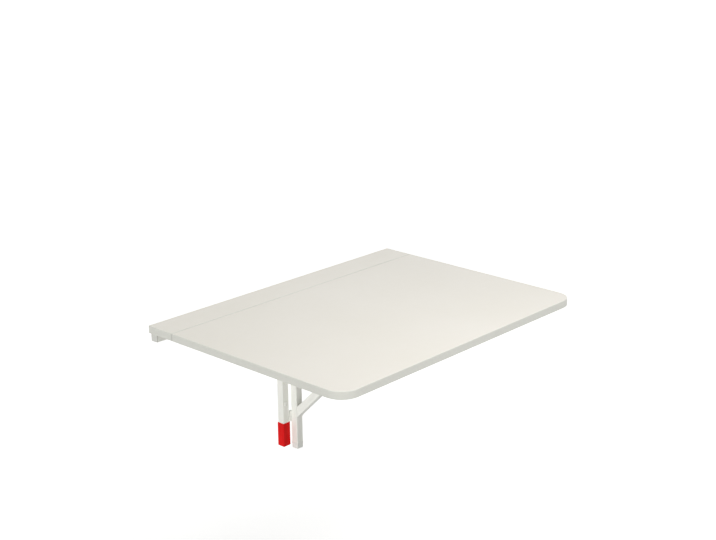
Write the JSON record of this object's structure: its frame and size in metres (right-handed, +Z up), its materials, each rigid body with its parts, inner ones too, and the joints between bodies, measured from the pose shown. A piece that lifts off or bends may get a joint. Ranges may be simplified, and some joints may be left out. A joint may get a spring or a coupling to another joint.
{
  "type": "wall mounted drop leaf table",
  "caption": "Wall table: a fixed shelf strip on a steel wall rail, a hinged leaf with rounded front corners and a swinging tube gate under it that folds flat to the wall.",
  "frame": {"origin": "on the wall plane, at the middle of the width and the height of the rail's screw holes", "axes": "+X along the wall to the right as seen from the room, +Y into the wall, +Z up; the table stands out towards -Y"},
  "size_m": [0.8, 0.6, 0.4355],
  "materials": {
    "melamine_board": "satin off-white melamine",
    "edge_band": "satin off-white band",
    "white_paint": "white powder coat",
    "white_plastic": "moulded white plastic",
    "grey_plastic": "moulded light grey plastic",
    "red_plastic": "glossy red plastic",
    "zinc_steel": "bright zinc plate"
  },
  "bodies": {
    "wall_frame": {"shelf_board": "melamine_board", "shelf_edge_bands": "edge_band", "wall_rail": "white_paint", "rail_end_plug_left": "grey_plastic", "rail_end_plug_right": "grey_plastic", "rail_hole_caps": "white_plastic", "wall_post": "white_paint", "post_hole_caps": "white_plastic", "post_end_cap": "red_plastic", "tab_screws": "zinc_steel", "hinge_base_screws": "zinc_steel", "shelf_tab_far_left": "white_paint", "shelf_tab_left": "white_paint", "shelf_tab_right": "white_paint", "shelf_tab_far_right": "white_paint", "leaf_hinge_base_left": "zinc_steel", "leaf_hinge_base_middle": "zinc_steel", "leaf_hinge_base_right": "zinc_steel", "leaf_hinge_pin_left": "zinc_steel", "leaf_hinge_pin_middle": "zinc_steel", "leaf_hinge_pin_right": "zinc_steel", "gate_hinge_base_upper": "white_paint", "gate_hinge_base_lower": "white_paint", "gate_hinge_pin_upper": "zinc_steel", "gate_hinge_pin_lower": "zinc_steel", "gate_hinge_washer_upper": "white_plastic", "gate_hinge_washer_lower": "white_plastic"},
    "leaf": {"leaf_board": "melamine_board", "leaf_edge_bands": "edge_band", "hinge_flap_screws": "zinc_steel", "rest_block": "white_plastic", "rest_block_screws": "zinc_steel", "leaf_hinge_flap_left": "zinc_steel", "leaf_hinge_flap_middle": "zinc_steel", "leaf_hinge_flap_right": "zinc_steel"},
    "gate": {"gate_post": "white_paint", "gate_arm": "white_paint", "gate_brace": "white_paint", "gate_post_cap": "white_plastic", "gate_post_foot": "white_plastic", "gate_arm_cap": "white_plastic", "gate_hinge_sleeve_upper": "white_paint", "gate_hinge_sleeve_lower": "white_paint"}
  },
  "joints": [
    {"name": "gate_swing", "type": "hinge", "parent": "wall_frame", "child": "gate", "pos_m": [0.011, -0.0195, -0.19], "axis": [0, 0, 1], "range_deg": [0, 90]},
    {"name": "leaf_hinge", "type": "hinge", "parent": "wall_frame", "child": "leaf", "pos_m": [0, -0.08, 0.0066], "axis": [-1, 0, 0], "range_deg": [0, 3]}
  ]
}
